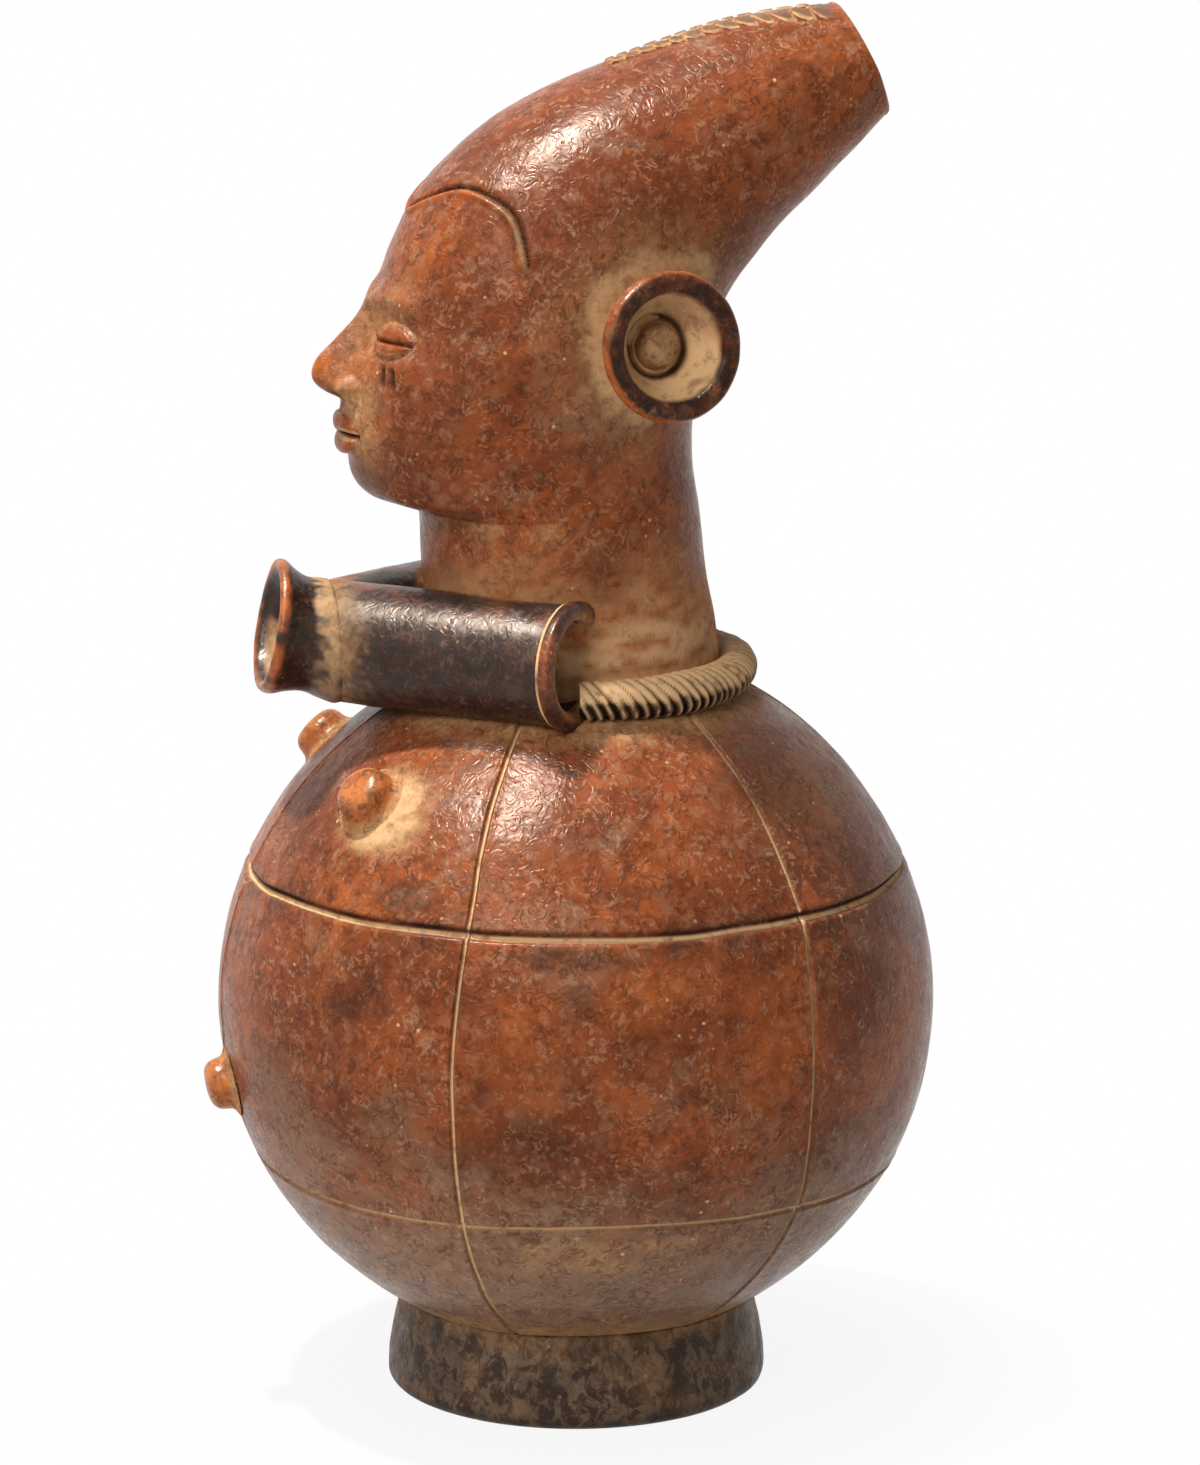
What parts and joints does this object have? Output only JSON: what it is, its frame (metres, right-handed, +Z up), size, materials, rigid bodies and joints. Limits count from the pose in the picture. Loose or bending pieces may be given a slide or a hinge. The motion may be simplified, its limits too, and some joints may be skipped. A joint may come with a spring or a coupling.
{
  "type": "spouted figural vessel",
  "caption": "Round-bellied earthenware jar on a ring foot, with a long-skulled head as its neck, ear spools, a rope collar and a forked pouring spout.",
  "frame": {"origin": "on the floor, under the centre of the belly", "axes": "+Z up through the belly and neck, -Y the way the figure faces, +X the figure's left side"},
  "size_m": [0.1642, 0.1682, 0.3201],
  "materials": {
    "clay": "burnished red-brown earthenware, mottled by fire",
    "worn_clay": "orange earthenware rubbed bare by handling",
    "smoked_clay": "burnished earthenware smoked black",
    "foot_clay": "rough olive-brown earthenware with fire clouds",
    "dusty_clay": "earthenware with pale dust in its cuts"
  },
  "bodies": {
    "root": {"belly": "clay", "neck": "clay", "head": "clay", "ear_left": "clay", "ear_right": "clay", "nose": "clay", "upper_eyelid_left": "clay", "upper_eyelid_right": "clay", "lower_eyelid_left": "clay", "lower_eyelid_right": "clay", "breast_left": "worn_clay", "breast_right": "worn_clay", "navel": "worn_clay", "upper_lip": "worn_clay", "lower_lip": "worn_clay", "spout_rim_left": "worn_clay", "spout_rim_right": "worn_clay", "spout_mouth": "smoked_clay", "spout_arm_left": "smoked_clay", "spout_arm_right": "smoked_clay", "foot_ring": "foot_clay", "rope_collar": "dusty_clay", "ear_stud_left": "dusty_clay", "ear_stud_right": "dusty_clay", "crown_braid": "dusty_clay"}
  },
  "joints": []
}
